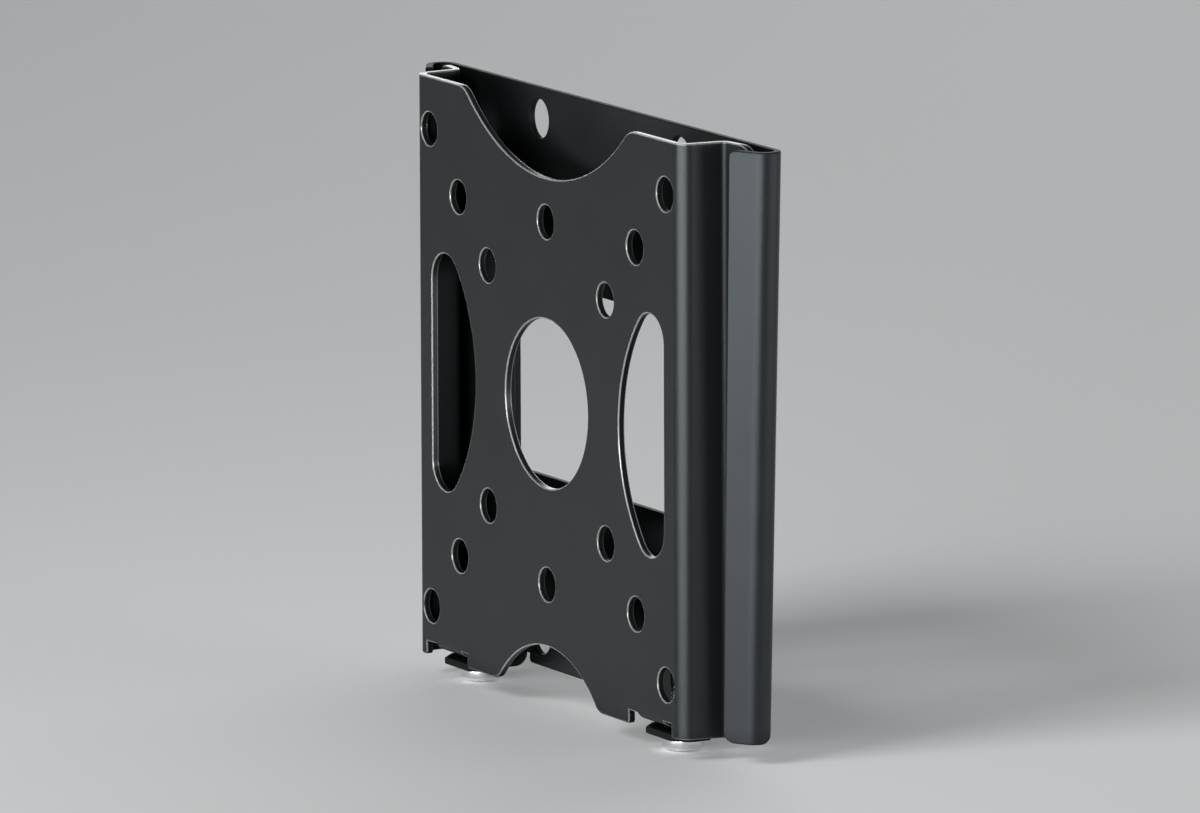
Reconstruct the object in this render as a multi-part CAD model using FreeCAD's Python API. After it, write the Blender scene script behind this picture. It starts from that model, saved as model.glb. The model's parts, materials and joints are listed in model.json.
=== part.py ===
import FreeCAD, Part
import math
import os

from FreeCAD import Vector

# Fixed tv wall bracket: a tv plate slides down behind the lips of a wall plate and is
# locked by two screws at the bottom. X runs across the wall, Y runs into the wall and Z
# runs up. The origin lies on the wall, in the middle of the four wall holes.
# Lengths are in millimetres and angles in degrees.

# Whole bracket
bracket_depth = 16.2
seat_clearance = 0.3

# Wall plate
wall_sheet = 1.5
wall_height = 121.0
wall_top_half_width = 71.25
wall_bottom_half_width = 66.6
channel_bend_radius = 1.9
channel_corner_round = 2.2
channel_corner_direction = 70.0
lip_angle = 30.0
lip_top_width = 6.25
lip_bottom_width = 5.15
lip_top_corner = 1.3
lip_bottom_corner = 2.1
window_width = 81.0
window_height = 40.7
window_corner = 2.0
wall_hole_diameter = 8.3
wall_hole_half_spacing_x = 29.75
wall_hole_from_edge = 6.6

# Locking tabs of the wall plate
wall_tab_width = 16.4
wall_tab_neck_width = 9.6
wall_tab_corner = 3.1
wall_tab_bend_radius = 1.3
wall_tab_drop = 1.4
wall_tab_setback = 2.0
wall_relief_height = 1.9
wall_relief_reach = 6.5
wall_relief_corner = 1.0

# Tv plate
tv_sheet = 1.5
tv_extra_height = 0.4
tv_lift = 0.4
tv_pattern_drop = 0.2
crown_half_width = 56.3
crown_bend_radius = 1.7
side_lean = 5.4
flange_bend_radius = 1.1
flange_slope = 8.7
flange_setback = 1.0
flange_top_corner = 5.0
flange_bottom_corner = 3.0
tv_hole_diameter = 7.0
hole_squares = (50.0, 75.0, 100.0)
middle_pair_spacing = 75.0
centre_hole_diameter = 35.0

# D-shaped cut-outs beside the centre hole
d_straight_x = 49.2
d_arc_centre_x = 65.0
d_arc_radius = 34.6
d_corner = 5.8

# Round notch in the top edge and round arch in the bottom edge of the tv plate
top_notch_radius = 49.5
top_notch_depth = 14.4
top_notch_corner = 6.0
bottom_arch_radius = 27.5
bottom_arch_depth = 10.2
bottom_arch_corner = 4.0

# Locking tabs of the tv plate
tv_tab_width = 10.9
tv_tab_bend_radius = 1.0
tv_tab_rise = 1.4
tv_tab_length = 12.6
tv_relief_inner_x = 34.5
tv_relief_outer_x = 52.1
tv_relief_height = 2.8
tv_relief_corner = 0.7

# Locking screws
screw_x = 43.0
screw_from_front = 7.9
screw_diameter = 5.0
screw_length = 10.0
screw_tip_chamfer = 0.5
screw_head_diameter = 8.7
screw_head_height = 3.0
screw_head_round = 1.2
cross_width = 4.6
cross_slot = 0.9
cross_depth = 1.6
screw_hole_clearance = 0.25
thread_clearance = 0.05

# Heights and depths that follow from the sizes above
wall_top = wall_height / 2
wall_bottom = -wall_height / 2
wall_front = -wall_sheet
wall_hole_z = wall_top - wall_hole_from_edge
channel_outer_radius = channel_bend_radius + wall_sheet
channel_axis_y = -channel_outer_radius
crown_front = -bracket_depth
crown_back = crown_front + tv_sheet
tv_height = wall_height + tv_extra_height
tv_top = tv_lift + tv_height / 2
tv_bottom = tv_lift - tv_height / 2
tv_pattern_z = tv_lift - tv_pattern_drop
screw_y = crown_front + screw_from_front
wall_tab_under = wall_bottom - wall_tab_drop
wall_tab_top = wall_tab_under + wall_sheet
wall_tab_front = crown_front + wall_tab_setback
tv_tab_under = tv_bottom + tv_tab_rise
tv_tab_bend_start = tv_tab_under + tv_sheet + tv_tab_bend_radius

# Spare length by which a cutter passes the sheet that it cuts
margin = 2.0


def front_view(x, z):
    """Point of an outline seen from the front."""
    return Vector(x, 0, z)


def plan_view(x, y):
    """Point of a section seen from above."""
    return Vector(x, y, 0)


def side_view(y, z):
    """Point of a section seen from the side."""
    return Vector(0, y, z)


def corner_arc(before, corner, after, radius):
    """Start, middle and end of the arc that rounds a corner."""
    to_before = (before - corner).normalize()
    to_after = (after - corner).normalize()
    half_angle = to_before.getAngle(to_after) / 2
    leg = radius / math.tan(half_angle)
    bisector = (to_before + to_after).normalize()
    centre = corner + bisector * (radius / math.sin(half_angle))
    return corner + to_before * leg, centre - bisector * radius, corner + to_after * leg


def closed_face(stretches):
    """Face inside a loop of arcs (start, middle, end), joined by straight lines."""
    edges = []
    for index, (start, middle, end) in enumerate(stretches):
        if middle is not None:
            edges.append(Part.Arc(start, middle, end).toShape())
        next_start = stretches[(index + 1) % len(stretches)][0]
        if end.distanceToPoint(next_start) > 1e-6:
            edges.append(Part.LineSegment(end, next_start).toShape())
    return Part.Face(Part.Wire(edges))


def rounded_face(corners):
    """Face inside a loop of corners, each a point with the radius that rounds it."""
    points = [point for point, radius in corners]
    stretches = []
    for index, (point, radius) in enumerate(corners):
        if radius > 0:
            after = points[(index + 1) % len(points)]
            stretches.append(corner_arc(points[index - 1], point, after, radius))
        else:
            stretches.append((point, None, point))
    return closed_face(stretches)


def prism_y(face, start, end):
    """Prism of a front-view face from one depth to another."""
    moved = face.translated(Vector(0, start, 0))
    return moved.extrude(Vector(0, end - start, 0))


def cylinder_y(diameter, x, z, start, end):
    """Round cutter along Y."""
    return Part.makeCylinder(diameter / 2, end - start, Vector(x, start, z), Vector(0, 1, 0))


def edge_slot(left, right, edge_z, height, corner):
    """Slot up from a plate's bottom edge, with the plate's corners beside it rounded."""
    return rounded_face([
        (front_view(left - margin, edge_z - margin), 0),
        (front_view(right + margin, edge_z - margin), 0),
        (front_view(right + margin, edge_z), 0),
        (front_view(right, edge_z), corner),
        (front_view(right, edge_z + height), 0),
        (front_view(left, edge_z + height), 0),
        (front_view(left, edge_z), corner),
        (front_view(left - margin, edge_z), 0),
    ])


def both_sides(shape):
    """The shape and its mirror image on the other side of the bracket."""
    return [shape, shape.mirror(Vector(0, 0, 0), Vector(1, 0, 0))]


def lines_cross(point_a, direction_a, point_b, direction_b):
    """Point where two lines of a plan view cross."""
    turn = direction_a.x * direction_b.y - direction_a.y * direction_b.x
    gap = point_b - point_a
    reach = (gap.x * direction_b.y - gap.y * direction_b.x) / turn
    return point_a + direction_a * reach


# Wall plate

def channel_axis_x(z):
    """Distance of the channel bend's axis from the middle at a height."""
    return wall_bottom_half_width + channel_lean() * (z - wall_bottom) - channel_outer_radius


def channel_lean():
    """Outward run of the channel's bend line for each length that it rises."""
    return (wall_top_half_width - wall_bottom_half_width) / wall_height


def lip_edge_x(z, width):
    """Distance of the lip's free edge from the middle, for a flat lip width."""
    lean = math.radians(lip_angle)
    return channel_axis_x(z) + channel_outer_radius * math.sin(lean) - width * math.cos(lean)


def channel_section(lip_width):
    """Right half of the wall plate and its channel, cut square to the channel's bend."""
    lean = math.radians(lip_angle)
    normal = Vector(math.sin(lean), -math.cos(lean), 0)
    to_edge = Vector(-math.cos(lean), -math.sin(lean), 0) * lip_width
    outward = Vector(1, 0, 0)
    axis = plan_view(channel_axis_x(wall_bottom), channel_axis_y)
    outer_lip = axis + normal * channel_outer_radius
    inner_lip = axis + normal * channel_bend_radius
    outer_bend = (plan_view(axis.x, 0), axis + outward * channel_outer_radius, outer_lip)
    inner_bend = (inner_lip, axis + outward * channel_bend_radius, plan_view(axis.x, wall_front))
    return closed_face([
        (plan_view(0, 0), None, plan_view(0, 0)),
        outer_bend,
        (outer_lip + to_edge, None, outer_lip + to_edge),
        (inner_lip + to_edge, None, inner_lip + to_edge),
        inner_bend,
        (plan_view(0, wall_front), None, plan_view(0, wall_front)),
    ])


def leaning_channel():
    """Right half of the wall plate, folded along a bend line that leans outwards."""
    taper = math.degrees(math.atan(channel_lean()))
    section = channel_section(max(lip_top_width, lip_bottom_width) + margin)
    channel = section.extrude(Vector(0, 0, wall_height + 2 * margin))
    channel = channel.translated(Vector(0, 0, wall_bottom - margin))
    bend_foot = Vector(channel_axis_x(wall_bottom), 0, wall_bottom)
    channel = channel.rotated(bend_foot, Vector(0, 1, 0), taper)
    middle = Part.makeBox(wall_bottom_half_width / 2, wall_sheet, wall_height + 2 * margin,
                          Vector(0, wall_front, wall_bottom - margin))
    room = Part.makeBox(wall_top_half_width + margin, bracket_depth, wall_height,
                        Vector(0, crown_front, wall_bottom))
    return channel.fuse(middle).common(room)


def lip_trim():
    """Cutter that leaves the lip its slanted free edge and round corners."""
    outside = wall_top_half_width + margin
    lip = rounded_face([
        (front_view(lip_edge_x(wall_bottom, lip_bottom_width), wall_bottom), lip_bottom_corner),
        (front_view(outside, wall_bottom), 0),
        (front_view(outside, wall_top), 0),
        (front_view(lip_edge_x(wall_top, lip_top_width), wall_top), lip_top_corner),
    ])
    block = rounded_face([
        (front_view(0, wall_bottom - margin), 0),
        (front_view(outside, wall_bottom - margin), 0),
        (front_view(outside, wall_top + margin), 0),
        (front_view(0, wall_top + margin), 0),
    ])
    return prism_y(block.cut(lip), crown_front, wall_front - seat_clearance)


def channel_corner_trim():
    """Cutter that rounds the bottom outer corner of the channel bend."""
    turn = math.radians(channel_corner_direction)
    outward = Vector(math.cos(turn), math.sin(turn), 0)
    along = Vector(-math.sin(turn), math.cos(turn), 0)
    axis = Vector(channel_axis_x(wall_bottom), channel_axis_y, wall_bottom)
    extreme = axis + outward * channel_outer_radius
    up = (Vector(0, 0, 1) + outward * (channel_lean() * math.cos(turn))).normalize()
    beyond = extreme + up * (wall_height + margin)
    below = Vector(0, 0, margin)
    start = extreme - outward * margin
    face = rounded_face([
        (start, 0),
        (extreme, channel_corner_round),
        (beyond, 0),
        (beyond + outward * margin, 0),
        (extreme + outward * margin - below, 0),
        (start - below, 0),
    ])
    reach = wall_top_half_width
    return face.translated(along * -reach).extrude(along * (2 * reach))


def folded_tab(outer_face, inner_face, under, top, tip, start, radius, sheet):
    """Side view of a tab, from its plate face at a start height round to its tip."""
    return rounded_face([
        (side_view(outer_face, start), 0),
        (side_view(outer_face, under), radius + sheet),
        (side_view(tip, under), 0),
        (side_view(tip, top), 0),
        (side_view(inner_face, top), radius),
        (side_view(inner_face, start), 0),
    ])


def wall_tab():
    """Right tab of the wall plate, folded forward, with its neck and cut corners."""
    start = wall_bottom + wall_relief_height
    profile = folded_tab(0, wall_front, wall_tab_under, wall_tab_top, wall_tab_front, start,
                         wall_tab_bend_radius, wall_sheet)
    left = screw_x - wall_tab_width / 2
    right = screw_x + wall_tab_width / 2
    solid = profile.translated(Vector(left, 0, 0)).extrude(Vector(wall_tab_width, 0, 0))
    neck_left = screw_x - wall_tab_neck_width / 2
    neck_right = screw_x + wall_tab_neck_width / 2
    plan = rounded_face([
        (plan_view(neck_left, margin), 0),
        (plan_view(neck_right, margin), 0),
        (plan_view(neck_right, -wall_relief_reach), 0),
        (plan_view(right, -wall_relief_reach), 0),
        (plan_view(right, wall_tab_front + wall_tab_corner), 0),
        (plan_view(right - wall_tab_corner, wall_tab_front), 0),
        (plan_view(left + wall_tab_corner, wall_tab_front), 0),
        (plan_view(left, wall_tab_front + wall_tab_corner), 0),
        (plan_view(left, -wall_relief_reach), 0),
        (plan_view(neck_left, -wall_relief_reach), 0),
    ])
    height = Vector(0, 0, start - wall_tab_under + 2 * margin)
    return solid.common(plan.translated(Vector(0, 0, wall_tab_under - margin)).extrude(height))


def wall_tab_slot():
    """Cutter for the slot in the plate that the tab's neck and its reliefs stand in."""
    face = edge_slot(screw_x - wall_tab_width / 2, screw_x + wall_tab_width / 2,
                     wall_bottom, wall_relief_height, wall_relief_corner)
    return prism_y(face, wall_front - margin, margin)


def wall_plate():
    """Folded wall plate with its channels, window, wall holes and locking tabs."""
    half = leaning_channel().cut([lip_trim(), channel_corner_trim(), wall_tab_slot()])
    half = half.fuse(wall_tab())
    screw_hole = Part.makeCylinder(screw_diameter / 2 + screw_hole_clearance,
                                   wall_sheet + 2 * margin,
                                   Vector(screw_x, screw_y, wall_tab_under - margin))
    cutters = [screw_hole]
    for z in (wall_hole_z, -wall_hole_z):
        cutters.append(cylinder_y(wall_hole_diameter, wall_hole_half_spacing_x, z,
                                  wall_front - margin, margin))
    right, left = both_sides(half.cut(cutters))
    window_x = window_width / 2
    window_z = window_height / 2
    window = rounded_face([
        (front_view(-window_x, -window_z), window_corner),
        (front_view(window_x, -window_z), window_corner),
        (front_view(window_x, window_z), window_corner),
        (front_view(-window_x, window_z), window_corner),
    ])
    return right.fuse(left).cut(prism_y(window, wall_front - margin, margin)).removeSplitter()


# Tv plate

def flange_edge_x(z):
    """Distance of the flange's free edge from the middle at a height."""
    return channel_axis_x(z) - flange_setback


def flange_seat():
    """Front corner of the flange at its lowest height, just behind the lip."""
    lean = math.radians(lip_angle)
    reach = (channel_bend_radius - seat_clearance) / math.cos(lean)
    slant = flange_setback * math.tan(lean)
    return plan_view(flange_edge_x(tv_bottom), channel_axis_y - reach - slant)


def hat_section():
    """Right half of the tv plate, seen from above, with an untrimmed flange."""
    lean = math.radians(side_lean)
    slope = math.radians(flange_slope)
    crown_way = Vector(1, 0, 0)
    side_way = Vector(math.sin(lean), math.cos(lean), 0)
    flange_way = Vector(math.cos(slope), math.sin(slope), 0)
    side_in = Vector(-math.cos(lean), math.sin(lean), 0) * tv_sheet
    flange_in = Vector(-math.sin(slope), math.cos(slope), 0) * tv_sheet
    front_middle = plan_view(0, crown_front)
    back_middle = plan_view(0, crown_back)
    front_corner = plan_view(crown_half_width, crown_front)
    seat = flange_seat()
    tip_front = seat + flange_way * ((flange_edge_x(tv_top) - seat.x) / flange_way.x)
    tip_back = tip_front + flange_in
    front_foot = lines_cross(front_corner, side_way, tip_front, flange_way)
    back_corner = lines_cross(back_middle, crown_way, front_corner + side_in, side_way)
    back_foot = lines_cross(front_corner + side_in, side_way, tip_back, flange_way)
    return rounded_face([
        (front_middle, 0),
        (front_corner, crown_bend_radius + tv_sheet),
        (front_foot, flange_bend_radius),
        (tip_front, 0),
        (tip_back, 0),
        (back_foot, flange_bend_radius + tv_sheet),
        (back_corner, crown_bend_radius),
        (back_middle, 0),
    ])


def flange_outline():
    """Front view of the right half, up to the slanted free edge of the flange."""
    return rounded_face([
        (front_view(0, tv_bottom), 0),
        (front_view(flange_edge_x(tv_bottom), tv_bottom), flange_bottom_corner),
        (front_view(flange_edge_x(tv_top), tv_top), flange_top_corner),
        (front_view(0, tv_top), 0),
    ])


def round_bite(edge_z, inward, radius, depth, corner):
    """Cutter for a round bite out of the top or bottom edge, with eased corners."""
    centre_z = edge_z + inward * (depth - radius)
    ease_z = edge_z + inward * corner
    ease_x = math.sqrt((radius + corner) ** 2 - (ease_z - centre_z) ** 2)
    share = radius / (radius + corner)
    touch_x = ease_x * share
    touch_z = centre_z + (ease_z - centre_z) * share
    stretches = []
    for side in (1, -1):
        ease_centre = front_view(side * ease_x, ease_z)
        on_edge = front_view(side * ease_x, edge_z)
        on_arc = front_view(side * touch_x, touch_z)
        middle_way = ((on_edge - ease_centre) + (on_arc - ease_centre)).normalize()
        stretches.append((on_edge, ease_centre + middle_way * corner, on_arc))
    right, left = stretches
    deepest = front_view(0, edge_z + inward * depth)
    beyond = Vector(0, 0, -inward * margin)
    return closed_face([
        right,
        (right[2], deepest, left[2]),
        (left[2], left[1], left[0]),
        (left[0] + beyond, None, left[0] + beyond),
        (right[0] + beyond, None, right[0] + beyond),
    ])


def d_cutout():
    """Right D-shaped cut-out: a straight outer side and an arc towards the middle."""
    cap_x = d_straight_x - d_corner
    reach = d_arc_radius - d_corner
    cap_z = math.sqrt(reach ** 2 - (d_arc_centre_x - cap_x) ** 2)
    centre = front_view(d_arc_centre_x, 0)
    caps = []
    for side in (-1, 1):
        cap = front_view(cap_x, side * cap_z)
        outward = (cap - centre).normalize()
        on_line = front_view(d_straight_x, side * cap_z)
        middle_way = (outward + Vector(1, 0, 0)).normalize()
        caps.append((on_line, cap + middle_way * d_corner, cap + outward * d_corner))
    low, high = caps
    innermost = front_view(d_arc_centre_x - d_arc_radius, 0)
    return closed_face([
        (low[2], low[1], low[0]),
        high,
        (high[2], innermost, low[2]),
    ])


def tv_hole_places():
    """Centres of the tv screw holes, as (x, z) from the middle of their pattern."""
    places = []
    for spacing in hole_squares:
        for x in (-spacing / 2, spacing / 2):
            for z in (-spacing / 2, spacing / 2):
                places.append((x, z))
    for z in (-middle_pair_spacing / 2, middle_pair_spacing / 2):
        places.append((0, z))
    return places


def crown_cutters():
    """Everything punched through the front of the tv plate."""
    start = crown_front - margin
    end = crown_back + margin
    lift = Vector(0, 0, tv_pattern_z)
    faces = [
        round_bite(tv_top, -1, top_notch_radius, top_notch_depth, top_notch_corner),
        round_bite(tv_bottom, 1, bottom_arch_radius, bottom_arch_depth, bottom_arch_corner),
    ]
    faces += both_sides(d_cutout().translated(lift))
    cutters = [prism_y(face, start, end) for face in faces]
    cutters.append(cylinder_y(centre_hole_diameter, 0, tv_pattern_z, start, end))
    for x, z in tv_hole_places():
        cutters.append(cylinder_y(tv_hole_diameter, x, tv_pattern_z + z, start, end))
    return cutters


def tv_tab():
    """Right tab of the tv plate, folded back, with its threaded screw hole."""
    profile = folded_tab(crown_front, crown_back, tv_tab_under, tv_tab_under + tv_sheet,
                         crown_front + tv_tab_length, tv_tab_bend_start,
                         tv_tab_bend_radius, tv_sheet)
    left = screw_x - tv_tab_width / 2
    tab = profile.translated(Vector(left, 0, 0)).extrude(Vector(tv_tab_width, 0, 0))
    hole = Part.makeCylinder(screw_diameter / 2 + thread_clearance, tv_sheet + 2 * margin,
                             Vector(screw_x, screw_y, tv_tab_under - margin))
    return tab.cut(hole)


def tv_tab_notch():
    """Cutter for the right tab's place in the front plate and the reliefs beside it."""
    start = crown_front - margin
    end = crown_back + margin
    tab_place = Part.makeBox(tv_tab_width, end - start, tv_tab_bend_start - tv_bottom,
                             Vector(screw_x - tv_tab_width / 2, start, tv_bottom))
    reliefs = edge_slot(tv_relief_inner_x, tv_relief_outer_x, tv_bottom, tv_relief_height,
                        tv_relief_corner)
    return tab_place.fuse(prism_y(reliefs, start, end))


def tv_plate():
    """Folded tv plate with its flanges, screw holes, cut-outs and locking tabs."""
    height = Vector(0, 0, tv_height)
    half = hat_section().translated(Vector(0, 0, tv_bottom)).extrude(height)
    half = half.common(prism_y(flange_outline(), crown_front - margin, 0))
    half = half.cut(tv_tab_notch()).fuse(tv_tab())
    right, left = both_sides(half)
    return right.fuse(left).cut(crown_cutters()).removeSplitter()


# Locking screws

def screw_head():
    """Pan head with a cross recess in its underside, centred on the screw's axis."""
    radius = screw_head_diameter / 2
    height = screw_head_height
    profile = rounded_face([
        (front_view(0, 0), 0),
        (front_view(radius, 0), 0),
        (front_view(radius, -height), screw_head_round),
        (front_view(0, -height), 0),
    ])
    head = profile.revolve(Vector(0, 0, 0), Vector(0, 0, 1), 360)
    for width, depth in ((cross_width, cross_slot), (cross_slot, cross_width)):
        corner = Vector(-width / 2, -depth / 2, -height - margin)
        head = head.cut(Part.makeBox(width, depth, cross_depth + margin, corner))
    return head


def locking_screw(side):
    """Screw up through the wall tab and the tv tab, on one side of the bracket."""
    radius = screw_diameter / 2
    tip = radius - screw_tip_chamfer
    shank = Part.makeCylinder(radius, screw_length - screw_tip_chamfer)
    end = Part.makeCone(radius, tip, screw_tip_chamfer,
                        Vector(0, 0, screw_length - screw_tip_chamfer))
    screw = screw_head().fuse([shank, end]).removeSplitter()
    return screw.translated(Vector(side * screw_x, screw_y, wall_tab_under))


def main():
    """Write every piece as a file of its own."""
    pieces = {
        "wall_plate": wall_plate(),
        "tv_plate": tv_plate(),
        "locking_screw_left": locking_screw(-1),
        "locking_screw_right": locking_screw(1),
    }
    os.makedirs("parts", exist_ok=True)
    for name, shape in pieces.items():
        print(name, shape.isValid(), len(shape.Solids), round(shape.Volume, 1))
        shape.exportStep("parts/" + name + ".step")


main()
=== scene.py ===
import json
import math

import bmesh
import bpy
from mathutils import Matrix, Vector, geometry
from mathutils.bvhtree import BVHTree


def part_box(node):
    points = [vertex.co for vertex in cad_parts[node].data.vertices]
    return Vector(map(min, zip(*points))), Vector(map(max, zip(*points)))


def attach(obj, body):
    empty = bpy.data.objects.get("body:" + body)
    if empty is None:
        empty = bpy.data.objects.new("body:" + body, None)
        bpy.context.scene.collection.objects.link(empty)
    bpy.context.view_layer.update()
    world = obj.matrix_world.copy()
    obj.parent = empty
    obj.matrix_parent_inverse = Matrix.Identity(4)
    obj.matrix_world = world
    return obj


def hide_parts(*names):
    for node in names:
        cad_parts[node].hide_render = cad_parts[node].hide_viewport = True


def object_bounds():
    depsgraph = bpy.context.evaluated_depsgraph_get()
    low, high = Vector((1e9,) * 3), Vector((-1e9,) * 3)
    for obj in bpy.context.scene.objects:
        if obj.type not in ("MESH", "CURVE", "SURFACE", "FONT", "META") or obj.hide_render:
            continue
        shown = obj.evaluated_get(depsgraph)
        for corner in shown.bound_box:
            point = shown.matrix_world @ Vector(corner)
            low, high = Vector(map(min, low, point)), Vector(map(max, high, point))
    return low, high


bl_info = {
    "name": "Fixed tv wall bracket",
    "version": (1, 0, 0),
    "blender": (4, 5, 0),
    "location": "3D View > Sidebar > Bracket",
    "description": "Makes the bracket's coated plates and locking screws, and sets its studio",
    "category": "Object",
}

MM = 0.001
EDGE_SLOT = 1

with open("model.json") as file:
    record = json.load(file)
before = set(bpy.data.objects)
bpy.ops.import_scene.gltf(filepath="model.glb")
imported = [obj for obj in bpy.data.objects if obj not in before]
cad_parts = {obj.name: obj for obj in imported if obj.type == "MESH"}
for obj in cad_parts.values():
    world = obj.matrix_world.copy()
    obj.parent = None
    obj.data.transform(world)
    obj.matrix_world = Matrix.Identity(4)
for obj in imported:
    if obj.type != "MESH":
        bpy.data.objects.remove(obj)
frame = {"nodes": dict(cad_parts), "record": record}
cad_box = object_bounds()


def slot_colour(slot):
    """Base colour that the record gives to one of its material slots."""
    for material in frame["record"]["materials"]:
        if material["slot"] == slot:
            return tuple(material["base_color"])
    raise KeyError(slot)


# Settings


def length(name, description, default):
    """Length in metres, shown in the scene's unit."""
    return bpy.props.FloatProperty(
        name=name, description=description, default=default, min=0.0, precision=5, unit="LENGTH"
    )


def angle(name, description, degrees):
    """Angle, kept in radians and shown in degrees."""
    return bpy.props.FloatProperty(
        name=name, description=description, default=math.radians(degrees), unit="ROTATION"
    )


def share(name, description, default):
    """Number from 0 to 1."""
    return bpy.props.FloatProperty(
        name=name, description=description, default=default, min=0.0, max=1.0, subtype="FACTOR"
    )


def power(name, description, default):
    """Power of lamps in watts."""
    return bpy.props.FloatProperty(
        name=name, description=description, default=default, min=0.0, unit="POWER"
    )


def count(name, description, default):
    """Whole number from 1."""
    return bpy.props.IntProperty(name=name, description=description, default=default, min=1)


def colour(name, description, default):
    """Linear colour."""
    return bpy.props.FloatVectorProperty(
        name=name, description=description, default=default,
        min=0.0, max=1.0, size=3, subtype="COLOR",
    )


def place(name, description, default):
    """Point in metres."""
    return bpy.props.FloatVectorProperty(
        name=name, description=description, default=default,
        size=3, precision=5, subtype="TRANSLATION",
    )


class BracketCoat(bpy.types.PropertyGroup):
    """Powder coat and rounded edges of both plates."""

    tint: colour("Tint", "Colour of the powder coat", slot_colour("powder_coat"))
    roughness: share("Roughness", "Roughness of the satin coat", 0.37)
    specular: share("Specular", "Strength of the coat's shine", 0.28)
    shine_tint: colour("Shine tint", "Colour of the coat's shine", (0.86, 0.96, 1.0))
    # Painted shade: ambient occlusion within the recess reach mixes the coat towards a dark shader
    # without shine, which takes over fully at the recess limit.
    painted_shade_reach: length("Recess reach", "Metal nearer than this dulls the coat", 8.0 * MM)
    painted_shade_limit: share("Recess limit", "Openness at which the coat's shine is gone", 0.5)
    # Each plate's edges take their own roughness, bareness and share of the shining coat; below a
    # share of 1, as on the wall plate's edges, the rest is painted shade.
    tv_edge_roughness: share("Tv edge roughness", "Roughness of the tv plate's edges", 0.24)
    tv_edge_unshaded_share: share("Tv edge shine", "Part of the coat's shine on them", 1.0)
    tv_edge_bareness: share("Tv edge bareness", "Steel that shows through on them", 0.36)
    wall_edge_roughness: share("Wall edge roughness", "Roughness of the wall plate's edges", 0.5)
    wall_edge_unshaded_share: share("Wall edge shine", "Part of the coat's shine on them", 0.42)
    wall_edge_bareness: share("Wall edge bareness", "Steel that shows through on them", 0.0)
    steel_tint: colour("Steel tint", "Colour of the steel under the coat", (0.5, 0.51, 0.51))
    peel_size: length("Peel size", "Width of one wave of the coat's orange peel", 1.1 * MM)
    peel_height: length("Peel height", "Height of the orange peel", 0.005 * MM)
    grain_size: length("Grain size", "Width of one grain of the coat", 0.22 * MM)
    grain_height: length("Grain height", "Height of the grains", 0.0035 * MM)
    cloud_size: length("Cloud size", "Width of the coat's slow changes of tone", 14.0 * MM)
    edge_round: length("Edge round", "Radius of the plates' punched edges", 0.27 * MM)
    least_room: length("Least room", "Faces narrower than this keep sharp edges", 0.28 * MM)
    edge_angle: angle("Edge angle", "Folds sharper than this are rounded as edges", 44.0)
    sheet_limit: length("Sheet limit", "Cut faces have more metal than this behind them", 2.0 * MM)


class BracketZinc(bpy.types.PropertyGroup):
    """Shape and finish of the locking screws."""

    tint: colour("Tint", "Colour of the zinc plating", slot_colour("zinc"))
    roughness: share("Roughness", "Roughness of the zinc plating", 0.15)
    bloom_size: length("Bloom size", "Width of the plating's changes of tone", 1.4 * MM)
    turning_size: length("Turning size", "Distance between the marks left by turning", 0.16 * MM)
    turning_height: length("Turning height", "Height of the turning marks", 0.002 * MM)
    pitch: length("Pitch", "Pitch of the thread", 0.8 * MM)
    crest_radius: length("Crest radius", "Radius over the thread's crests", 2.5 * MM)
    thread_length: length("Thread length", "Length of the thread, head to tip", 10.0 * MM)
    tip_chamfer: length("Tip chamfer", "Height of the chamfer at the tip", 0.6 * MM)
    head_radius: length("Head radius", "Radius of the pan head", 4.35 * MM)
    head_height: length("Head height", "Height of the pan head", 3.0 * MM)
    head_round: length("Head round", "Radius of the pan head's shoulder", 1.2 * MM)
    head_crown: length("Head crown", "Rise of the pan head's face to its middle", 0.2 * MM)
    cross_reach: length("Cross reach", "Length of one arm of the cross recess", 2.3 * MM)
    cross_half_width: length("Cross half width", "Half the width of an arm at the mouth", 0.5 * MM)
    cross_depth: length("Cross depth", "Depth of the cross recess", 1.6 * MM)


class BracketStudio(bpy.types.PropertyGroup):
    """Camera, floor and room."""

    azimuth: angle("Azimuth", "How far round to the bracket's right the camera stands", 61.239)
    elevation: angle("Elevation", "How far above the bracket the camera stands", 9.8135)
    roll: angle("Roll", "Turn of the camera about its line of sight", -0.2062)
    target: place("Target", "Middle of the picture", (22.786 * MM, -16.2 * MM, 3.045 * MM))
    distance: length("Distance", "From the camera to the target", 2.94072)
    lens: bpy.props.FloatProperty(
        name="Lens", description="Focal length in mm on a 36 mm wide sensor", default=436.09
    )
    floor_tint: colour("Floor tint", "Colour of the floor", (0.7, 0.71, 0.715))
    sky_tint: colour("Sky tint", "Colour of the room around the bracket", (0.118, 0.123, 0.126))


def lamp_row(name, watts, azimuth, elevation, distance, arc, height, number, beam):
    """Property group of a row of lamps that stand on an arc round the bracket."""
    settings = {
        "power": power("Power", "Power of the row's lamps together", watts),
        "azimuth": angle("Azimuth", "How far round to the right the row's middle is", azimuth),
        "elevation": angle("Elevation", "How high the middles of the lamps stand", elevation),
        "distance": length("Distance", "From the bracket to the lamps", distance),
        "arc": angle("Arc", "How far round the row reaches", arc),
        "height": length("Height", "Height of each lamp", height),
        "number": count("Number", "Lamps in the row", number),
        "beam": angle("Beam", "Angle of the beam that the lamps' grids let out", beam),
    }
    contents = {"__doc__": name + " row of lamps.", "__annotations__": settings}
    return type("Bracket" + name + "Lamps", (bpy.types.PropertyGroup,), contents)


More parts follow.
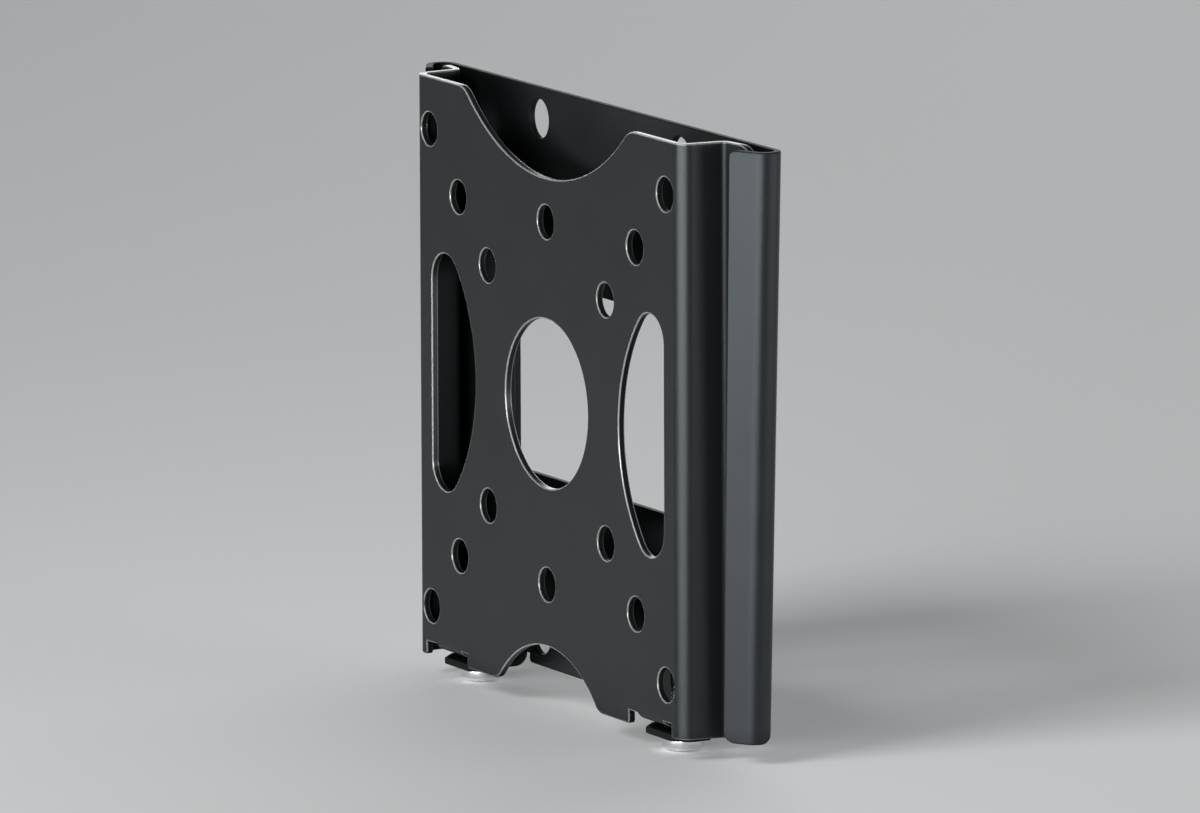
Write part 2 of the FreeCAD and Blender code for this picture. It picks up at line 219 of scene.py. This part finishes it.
LAMPS = {
    "front": lamp_row(
        "Front", watts=2.7, azimuth=23.0, elevation=1.5, distance=1.4,
        arc=60.0, height=0.33, number=4, beam=40.0,
    ),
    "key": lamp_row(
        "Key", watts=25.0, azimuth=8.0, elevation=38.0, distance=2.3,
        arc=24.0, height=0.9, number=1, beam=180.0,
    ),
    "back": lamp_row(
        "Back", watts=5.4, azimuth=222.0, elevation=11.0, distance=2.3,
        arc=66.0, height=0.85, number=3, beam=70.0,
    ),
    "side": lamp_row(
        "Side", watts=0.5, azimuth=129.0, elevation=3.0, distance=0.9,
        arc=58.0, height=0.15, number=2, beam=60.0,
    ),
}


# Nodes


class Field:
    """A socket that varies over a surface, for sums in a node tree."""

    def __init__(self, tree, socket):
        self.tree = tree
        self.socket = socket

    def sum_node(self, operation, first, second):
        """Math node of two values."""
        made = self.tree.nodes.new("ShaderNodeMath")
        made.operation = operation
        for index, value in enumerate((first, second)):
            if isinstance(value, Field):
                self.tree.links.new(value.socket, made.inputs[index])
            else:
                made.inputs[index].default_value = value
        return Field(self.tree, made.outputs[0])

    def __add__(self, other):
        return self.sum_node("ADD", self, other)

    def __radd__(self, other):
        return self.sum_node("ADD", other, self)

    def __sub__(self, other):
        return self.sum_node("SUBTRACT", self, other)

    def __rsub__(self, other):
        return self.sum_node("SUBTRACT", other, self)

    def __mul__(self, other):
        return self.sum_node("MULTIPLY", self, other)

    def __rmul__(self, other):
        return self.sum_node("MULTIPLY", other, self)


class Tree:
    """The nodes of one material or of the world."""

    def __init__(self, owner):
        owner.use_nodes = True
        self.tree = owner.node_tree
        self.tree.nodes.clear()

    def node(self, kind, settings=None, sockets=None, output=0):
        """Makes a node, sets it up, feeds its sockets and returns one output."""
        made = self.tree.nodes.new("ShaderNode" + kind)
        for key, value in (settings or {}).items():
            setattr(made, key, value)
        for key, value in (sockets or {}).items():
            if isinstance(value, Field):
                self.tree.links.new(value.socket, made.inputs[key])
            else:
                made.inputs[key].default_value = value
        return Field(self.tree, made.outputs[output]) if made.outputs else None

    def noise(self, where, size, detail):
        """Noise from 0 to 1 about 0.5, with one wave of a size in metres."""
        sockets = {"Vector": where, "Scale": 1.0 / size, "Detail": detail, "Roughness": 0.5}
        return self.node("TexNoise", sockets=sockets)

    def bump(self, height):
        """Normal of a surface with a height in metres."""
        return self.node("Bump", sockets={"Strength": 1.0, "Distance": 1.0, "Height": height})

    def blend(self, factor, first, second):
        """Mix of two colours, which a Mix node takes at sockets 6 and 7 and gives at 2."""
        sockets = {0: factor, 6: (*first, 1.0), 7: (*second, 1.0)}
        return self.node("Mix", {"data_type": "RGBA"}, sockets, 2)

    def finish(self, shader, output="OutputMaterial"):
        """Ends the tree in a shader."""
        self.node(output, sockets={"Surface": shader})


def scaled(tint, factor):
    """A colour made lighter or darker."""
    return tuple(min(1.0, part * factor) for part in tint)


def mixed(first, second, part):
    """A colour between two others."""
    return tuple(one * (1 - part) + other * part for one, other in zip(first, second))


def coat_material(name, settings, roughness, shine, bareness):
    """Black powder coat with an orange peel, thin where steel shows and dull in recesses."""
    # Tones are factors on the coat's tint, and spreads are how much the roughness varies.
    darkest, lightest = 0.1, 0.36
    cloud_part, grain_part = 0.45, 0.55
    cloud_spread, peel_spread = 0.05, 0.06
    # Painted shade: tone and roughness of the dark shader without shine that recesses fade to.
    painted_shade_tone, painted_shade_roughness = 0.2, 0.8
    made = bpy.data.materials.get(name) or bpy.data.materials.new(name)
    tree = Tree(made)
    where = tree.node("TexCoord", output="Object")
    peel = tree.noise(where, settings.peel_size, detail=1.5)
    grain = tree.noise(where, settings.grain_size, detail=1.0)
    cloud = tree.noise(where, settings.cloud_size, detail=2.0)
    tones = [
        mixed(scaled(settings.tint, tone), settings.steel_tint, bareness)
        for tone in (darkest, lightest)
    ]
    bump = tree.bump(settings.peel_height * peel + settings.grain_height * grain)
    reach = {"Distance": settings.painted_shade_reach}
    # Painted shade: how open the surface is, from ambient occlusion, sets how far it darkens.
    openness = tree.node("AmbientOcclusion", {"samples": 4}, reach, "AO")
    coat = tree.node("BsdfPrincipled", sockets={
        "Base Color": tree.blend(cloud_part * cloud + grain_part * grain, *tones),
        "Metallic": bareness,
        "Roughness": roughness + cloud_spread * (cloud - 0.5) + peel_spread * (peel - 0.5),
        "Specular IOR Level": settings.specular,
        "Specular Tint": (*settings.shine_tint, 1.0),
        "Normal": bump,
    })
    painted_shade = tree.node("BsdfPrincipled", sockets={
        "Base Color": (*scaled(settings.tint, painted_shade_tone), 1.0),
        "Roughness": painted_shade_roughness,
        "Specular IOR Level": 0.0,
        "Normal": bump,
    })
    # Share of the shining coat: none at the recess limit, and scaled by the edges' unshaded share;
    # the rest is painted shade.
    shown = shine / (1 - settings.painted_shade_limit) * (openness - settings.painted_shade_limit)
    tree.finish(tree.node("MixShader", sockets={0: shown, 1: painted_shade, 2: coat}))
    return made


def zinc_material(settings):
    """Bright zinc plating over turned steel."""
    name = "zinc_plating"
    darkest, lightest = 0.86, 1.1
    bloom_spread = 0.12
    made = bpy.data.materials.get(name) or bpy.data.materials.new(name)
    tree = Tree(made)
    where = tree.node("TexCoord", output="Object")
    flat = tree.node("VectorMath", {"operation": "MULTIPLY"}, {0: where, 1: (1.0, 1.0, 0.0)})
    radius = tree.node("VectorMath", {"operation": "LENGTH"}, {0: flat}, "Value")
    along = tree.node("SeparateXYZ", sockets={0: where}, output="Z")
    ring = tree.node("CombineXYZ", sockets={"X": radius, "Y": along})
    marks = tree.noise(ring, settings.turning_size, detail=1.0)
    bloom = tree.noise(where, settings.bloom_size, detail=2.0)
    tones = [scaled(settings.tint, tone) for tone in (darkest, lightest)]
    tree.finish(tree.node("BsdfPrincipled", sockets={
        "Base Color": tree.blend(bloom, *tones),
        "Metallic": 1.0,
        "Roughness": settings.roughness + bloom_spread * (bloom - 0.5),
        "Normal": tree.bump(settings.turning_height * marks),
    }))
    return made


# Plates


def linked(name, data):
    """Object in the scene that holds some data."""
    made = bpy.data.objects.new(name, data)
    bpy.context.scene.collection.objects.link(made)
    return made


def object_of(name, mesh):
    """Object in the scene with a mesh of its own."""
    data = bpy.data.meshes.new(name)
    mesh.to_mesh(data)
    mesh.free()
    return linked(name, data)


def reach_across(face, edge):
    """How far a face reaches from one of its edges."""
    start = edge.verts[0].co
    along = (edge.verts[1].co - start).normalized()
    offsets = [vert.co - start for vert in face.verts]
    return max((offset - along * along.dot(offset)).length for offset in offsets)


def rounding_share(edge, settings):
    """Share of the full rounding that an edge gets: none inside a corner or on a slight fold."""
    growth = math.radians(25)
    sharpness = (edge.calc_face_angle(0.0) - settings.edge_angle) / growth
    room = min(reach_across(face, edge) for face in edge.link_faces)
    if sharpness <= 0 or room < settings.least_room or not edge.is_convex:
        return 0.0
    return min(sharpness, 1.0)


def plain_solid(node):
    """Mesh of a node with its facets joined into whole faces."""
    weld = 0.001 * MM
    flatness = math.radians(0.3)
    mesh = bmesh.new()
    mesh.from_mesh(frame["nodes"][node].data)
    bmesh.ops.remove_doubles(mesh, verts=mesh.verts, dist=weld)
    bmesh.ops.dissolve_limit(mesh, angle_limit=flatness, verts=mesh.verts, edges=mesh.edges)
    for edge in mesh.edges:
        edge.smooth = True
    for face in mesh.faces:
        face.smooth = True
    return mesh


def mark_cut_faces(mesh, sheet_limit):
    """Gives the edges' finish to the faces with more than one sheet of metal behind them."""
    inward = 0.01 * MM
    solid = BVHTree.FromBMesh(mesh)
    triangles = {}
    for loops in mesh.calc_loop_triangles():
        corners = [loop.vert.co for loop in loops]
        triangles.setdefault(loops[0].face, []).append(corners)
    for face, parts in triangles.items():
        largest = max(parts, key=lambda corners: geometry.area_tri(*corners))
        start = sum(largest, Vector()) / 3 - face.normal * inward
        depth = solid.ray_cast(start, -face.normal)[3]
        if depth is None or depth > sheet_limit:
            face.material_index = EDGE_SLOT


def make_plate(node, settings, cuts_are_edges):
    """Plate in its powder coat, with its punched edges rounded and in a finish of their own."""
    mesh = plain_solid(node)
    if cuts_are_edges:
        mark_cut_faces(mesh, settings.sheet_limit)
    weights = mesh.edges.layers.float.new("bevel_weight_edge")
    for edge in mesh.edges:
        edge[weights] = rounding_share(edge, settings)
    plate = object_of("coated_" + node, mesh)
    facet_normals = plate.data.attributes.get("custom_normal")
    if facet_normals:
        plate.data.attributes.remove(facet_normals)
    rounding = plate.modifiers.new("round_edges", "BEVEL")
    rounding.width = settings.edge_round
    rounding.segments = 3
    rounding.limit_method = "WEIGHT"
    rounding.use_clamp_overlap = False
    rounding.loop_slide = False
    rounding.material = EDGE_SLOT
    normals = plate.modifiers.new("smooth_folds", "WEIGHTED_NORMAL")
    normals.keep_sharp = False
    edge_name = node.replace("_plate", "_edge")
    # Edge traits: roughness, share unshaded by the painted shade, and bareness.
    traits = ("_roughness", "_unshaded_share", "_bareness")
    finishes = {
        "powder_coat": (settings.roughness, 1.0, 0.0),
        edge_name: [getattr(settings, edge_name + trait) for trait in traits],
    }
    for name, finish in finishes.items():
        plate.data.materials.append(coat_material(name, settings, *finish))
    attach(plate, "root")
    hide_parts(node)


# Locking screws


def about_axis(radius, column, columns, height):
    """Point on one of the columns that stand round a screw's axis."""
    turn = 2 * math.pi * column / columns
    return radius * math.cos(turn), radius * math.sin(turn), height


def lathe(mesh, outline, columns):
    """Turns an outline of (radius, height) points that starts and ends on the axis."""
    first = mesh.verts.new((0.0, 0.0, outline[0][1]))
    last = mesh.verts.new((0.0, 0.0, outline[-1][1]))
    rings = [
        [mesh.verts.new(about_axis(radius, column, columns, height)) for column in range(columns)]
        for radius, height in outline[1:-1]
    ]
    for column in range(columns):
        after = (column + 1) % columns
        mesh.faces.new((first, rings[0][column], rings[0][after]))
        mesh.faces.new((last, rings[-1][after], rings[-1][column]))
        for upper, lower in zip(rings, rings[1:]):
            mesh.faces.new((upper[column], lower[column], lower[after], upper[after]))


def arc_points(centre, radius, start, end, steps):
    """Points on an arc in an outline, with angles in degrees."""
    points = []
    for step in range(steps + 1):
        turn = math.radians(start + (end - start) * step / steps)
        points.append((centre[0] + radius * math.cos(turn), centre[1] + radius * math.sin(turn)))
    return points


def head_outline(settings):
    """Outline of the pan head, from its seat at height 0 down to its crowned face."""
    seat_round = 0.15 * MM
    shoulder_end = -86
    crown_parts = (0.75, 0.5, 0.25)
    radius = settings.head_radius
    shoulder = settings.head_round
    rim = settings.head_crown - settings.head_height
    outline = [(0.0, 0.0)]
    outline += arc_points((radius - seat_round, -seat_round), seat_round, 90, 0, steps=3)
    outline += arc_points((radius - shoulder, rim + shoulder), shoulder, 0, shoulder_end, steps=8)
    for part in crown_parts:
        rise = settings.head_crown * (1 - part ** 2)
        outline.append(((radius - shoulder) * part, rim - rise))
    outline.append((0.0, -settings.head_height))
    return outline


def cross_outline(reach, half_width):
    """Corners of a cross, in order round it."""
    corners = []
    for quarter in range(4):
        turn = Matrix.Rotation(quarter * math.pi / 2, 2)
        for corner in ((half_width, half_width), (half_width, reach), (-half_width, reach)):
            corners.append(turn @ Vector(corner))
    return corners


def cross_cutter(settings):
    """Tapered cross that the recess in the head is cut with."""
    face = -settings.head_height
    overshoot = 0.5 * MM
    reach_taper = 0.45
    width_taper = 0.2
    mesh = bmesh.new()
    rings = []
    for height in (face - overshoot, face + settings.cross_depth):
        inset = (height - face) * reach_taper
        corners = cross_outline(
            settings.cross_reach - inset, settings.cross_half_width - width_taper * inset
        )
        rings.append([mesh.verts.new((corner.x, corner.y, height)) for corner in corners])
    lower, upper = rings
    for index in range(len(lower)):
        after = (index + 1) % len(lower)
        mesh.faces.new((lower[index], lower[after], upper[after], upper[index]))
    mesh.faces.new(list(reversed(lower)))
    mesh.faces.new(upper)
    bmesh.ops.recalc_face_normals(mesh, faces=mesh.faces)
    return mesh


def thread_section(settings):
    """Corners of one turn of the thread: pitches along the axis, and radius."""
    depth_in_pitches = 0.6134
    crest_end, root_start, root_end = 0.125, 0.4375, 0.6875
    crest = settings.crest_radius
    root = crest - depth_in_pitches * settings.pitch
    return ((0.0, crest), (crest_end, crest), (root_start, root), (root_end, root))


def add_thread(mesh, settings, columns):
    """Adds a right-handed thread that starts under the head and ends in a chamfer."""
    weld = 0.0005 * MM
    below_root = 0.05 * MM
    top = settings.thread_length
    section = thread_section(settings)
    core = section[-1][1] - below_root
    lines = []
    for turn in range(-1, math.ceil(top / settings.pitch) + 1):
        for phase, radius in section:
            line = []
            for column in range(columns):
                height = settings.pitch * (turn + phase + column / columns)
                height = min(max(height, 0.0), top)
                from_end = min(height, (top - height) / settings.tip_chamfer * (radius - core))
                reach = min(radius, core + max(from_end, 0.0))
                line.append(mesh.verts.new(about_axis(reach, column, columns, height)))
            lines.append(line)
    for row in range(len(lines) - len(section) - 1):
        lower, upper = (
            lines[start] + lines[start + len(section)][:1] for start in (row, row + 1)
        )
        for column in range(columns):
            after = column + 1
            mesh.faces.new((lower[column], lower[after], upper[after], upper[column]))
    loose = [vert for vert in mesh.verts if not vert.link_faces]
    bmesh.ops.delete(mesh, geom=loose, context="VERTS")
    bmesh.ops.remove_doubles(mesh, verts=mesh.verts, dist=weld)
    bmesh.ops.holes_fill(mesh, edges=mesh.edges, sides=0)
    bmesh.ops.recalc_face_normals(mesh, faces=mesh.faces)


def screw_mesh(settings):
    """Mesh of a screw with a pan head below height 0 and a thread above it."""
    head_columns, thread_columns = 64, 48
    head_form = bmesh.new()
    lathe(head_form, head_outline(settings), head_columns)
    bmesh.ops.recalc_face_normals(head_form, faces=head_form.faces)
    head = object_of("screw_head_blank", head_form)
    cutter = object_of("cross_cutter", cross_cutter(settings))
    recess = head.modifiers.new("cross_recess", "BOOLEAN")
    recess.object = cutter
    recess.operation = "DIFFERENCE"
    recess.solver = "EXACT"
    soften = head.modifiers.new("soften_recess", "BEVEL")
    soften.width = 0.06 * MM
    soften.segments = 2
    soften.angle_limit = math.radians(45)
    graph = bpy.context.evaluated_depsgraph_get()
    finished = bpy.data.meshes.new_from_object(head.evaluated_get(graph))
    screw = bmesh.new()
    add_thread(screw, settings, thread_columns)
    screw.from_mesh(finished)
    for spare in (head, cutter):
        bpy.data.objects.remove(spare)
    return screw


def make_screw(side, settings):
    """Screw on one side, up through the tabs of both plates."""
    node = "locking_screw_" + side
    low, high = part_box(node)
    screw = object_of("threaded_screw_" + side, screw_mesh(settings))
    screw.data.shade_smooth()
    screw.data.set_sharp_from_angle(angle=math.radians(38))
    middle = (low + high) / 2
    screw.location = (middle.x, middle.y, low.z + settings.head_height)
    screw.data.materials.append(zinc_material(settings))
    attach(screw, "root")
    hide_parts(node)


# Studio


def way_to(azimuth, elevation):
    """Direction from the bracket, round from its front to its right and up."""
    level = math.cos(elevation)
    return Vector((math.sin(azimuth) * level, -math.cos(azimuth) * level, math.sin(elevation)))


def add_camera(settings):
    """Camera at the photograph's viewing angle."""
    back = way_to(settings.azimuth, settings.elevation)
    right = Vector((0.0, 0.0, 1.0)).cross(back).normalized()
    up = back.cross(right)
    data = bpy.data.cameras.new("camera")
    data.sensor_fit = "HORIZONTAL"
    data.sensor_width = 36.0
    data.lens = settings.lens
    data.clip_start = 0.1
    data.clip_end = 60.0
    camera = linked("camera", data)
    stand = Matrix.Translation(Vector(settings.target) + back * settings.distance)
    roll = Matrix.Rotation(settings.roll, 4, back)
    camera.matrix_world = stand @ roll @ Matrix((right, up, back)).transposed().to_4x4()
    bpy.context.scene.camera = camera


def add_lamps(name, row):
    """Row of gridded lamps on an arc round the bracket, each turned to it."""
    step = row.arc / row.number
    for index in range(row.number):
        data = bpy.data.lights.new(name, "AREA")
        data.shape = "RECTANGLE"
        data.size = 2 * row.distance * math.tan(step / 2)
        data.size_y = row.height
        data.spread = row.beam
        data.energy = row.power / row.number
        way = way_to(row.azimuth + (index - (row.number - 1) / 2) * step, row.elevation)
        lamp = linked(name, data)
        lamp.rotation_mode = "QUATERNION"
        lamp.location = way * row.distance
        lamp.rotation_quaternion = way.to_track_quat("Z", "Y")


def add_floor(settings):
    """Round pale floor under the screws' heads."""
    radius = 14.0
    cloud_size = 0.35
    darkest, lightest = 0.985, 1.015
    mesh = bmesh.new()
    bmesh.ops.create_circle(mesh, cap_ends=True, segments=96, radius=radius)
    floor = object_of("floor", mesh)
    floor.location = (0.0, 0.0, cad_box[0].z)
    made = bpy.data.materials.new("floor")
    tree = Tree(made)
    cloud = tree.noise(tree.node("TexCoord", output="Object"), cloud_size, detail=2.0)
    tones = [scaled(settings.floor_tint, tone) for tone in (darkest, lightest)]
    tree.finish(tree.node("BsdfPrincipled", sockets={
        "Base Color": tree.blend(cloud, *tones),
        "Roughness": 0.9,
        "Specular IOR Level": 0.1,
    }))
    floor.data.materials.append(made)


def add_sky(settings):
    """Even light from all around."""
    world = bpy.data.worlds.new("studio")
    tree = Tree(world)
    sky = tree.node("Background", sockets={"Color": (*settings.sky_tint, 1.0), "Strength": 1.0})
    tree.finish(sky, "OutputWorld")
    bpy.context.scene.world = world


# Operators


class BRACKET_OT_make_wall_plate(bpy.types.Operator):
    """Round the wall plate's edges and give it its powder coat"""

    bl_idname = "bracket.make_wall_plate"
    bl_label = "Make the wall plate"

    def execute(self, context):
        make_plate("wall_plate", context.scene.bracket_coat, cuts_are_edges=True)
        return {"FINISHED"}


class BRACKET_OT_make_tv_plate(bpy.types.Operator):
    """Round the tv plate's edges and give it its powder coat"""

    bl_idname = "bracket.make_tv_plate"
    bl_label = "Make the tv plate"

    def execute(self, context):
        make_plate("tv_plate", context.scene.bracket_coat, cuts_are_edges=False)
        return {"FINISHED"}


class BRACKET_OT_make_locking_screws(bpy.types.Operator):
    """Make both locking screws with their threads and recesses"""

    bl_idname = "bracket.make_locking_screws"
    bl_label = "Make the locking screws"

    def execute(self, context):
        for side in ("left", "right"):
            make_screw(side, context.scene.bracket_zinc)
        return {"FINISHED"}


class BRACKET_OT_set_studio(bpy.types.Operator):
    """Set the camera, the floor, the lamps and the room"""

    bl_idname = "bracket.set_studio"
    bl_label = "Set the studio"

    def execute(self, context):
        settings = context.scene.bracket_studio
        add_camera(settings)
        for name in LAMPS:
            add_lamps(name, getattr(context.scene, "bracket_" + name + "_lamps"))
        add_floor(settings)
        add_sky(settings)
        context.scene.view_settings.view_transform = "Standard"
        return {"FINISHED"}


class BRACKET_PT_sidebar(bpy.types.Panel):
    """Lists the bracket's operators and settings"""

    bl_idname = "BRACKET_PT_sidebar"
    bl_label = "Fixed tv wall bracket"
    bl_space_type = "VIEW_3D"
    bl_region_type = "UI"
    bl_category = "Bracket"

    def draw(self, context):
        column = self.layout.column()
        for operator in OPERATORS:
            column.operator(operator.bl_idname)
        for name in SETTINGS:
            group = getattr(context.scene, name)
            box = self.layout.box()
            box.label(text=name.replace("_", " ").capitalize())
            for key in type(group).__annotations__:
                box.prop(group, key)


SETTINGS = {
    "bracket_coat": BracketCoat,
    "bracket_zinc": BracketZinc,
    "bracket_studio": BracketStudio,
    **{"bracket_" + name + "_lamps": group for name, group in LAMPS.items()},
}
OPERATORS = (
    BRACKET_OT_make_wall_plate,
    BRACKET_OT_make_tv_plate,
    BRACKET_OT_make_locking_screws,
    BRACKET_OT_set_studio,
)


def register():
    """Adds the settings to every scene, and the operators and their panel."""
    for group in SETTINGS.values():
        bpy.utils.register_class(group)
    for kind in (*OPERATORS, BRACKET_PT_sidebar):
        bpy.utils.register_class(kind)
    for name, group in SETTINGS.items():
        setattr(bpy.types.Scene, name, bpy.props.PointerProperty(type=group))


def unregister():
    """Takes away what register adds."""
    for name in SETTINGS:
        delattr(bpy.types.Scene, name)
    for kind in (BRACKET_PT_sidebar, *reversed(OPERATORS), *SETTINGS.values()):
        bpy.utils.unregister_class(kind)


def main():
    """Makes the plates and screws, sets the studio and notes the sizes."""
    register()
    bpy.ops.bracket.make_wall_plate()
    bpy.ops.bracket.make_tv_plate()
    bpy.ops.bracket.make_locking_screws()
    bpy.ops.bracket.set_studio()


if __name__ == "__main__":
    main()
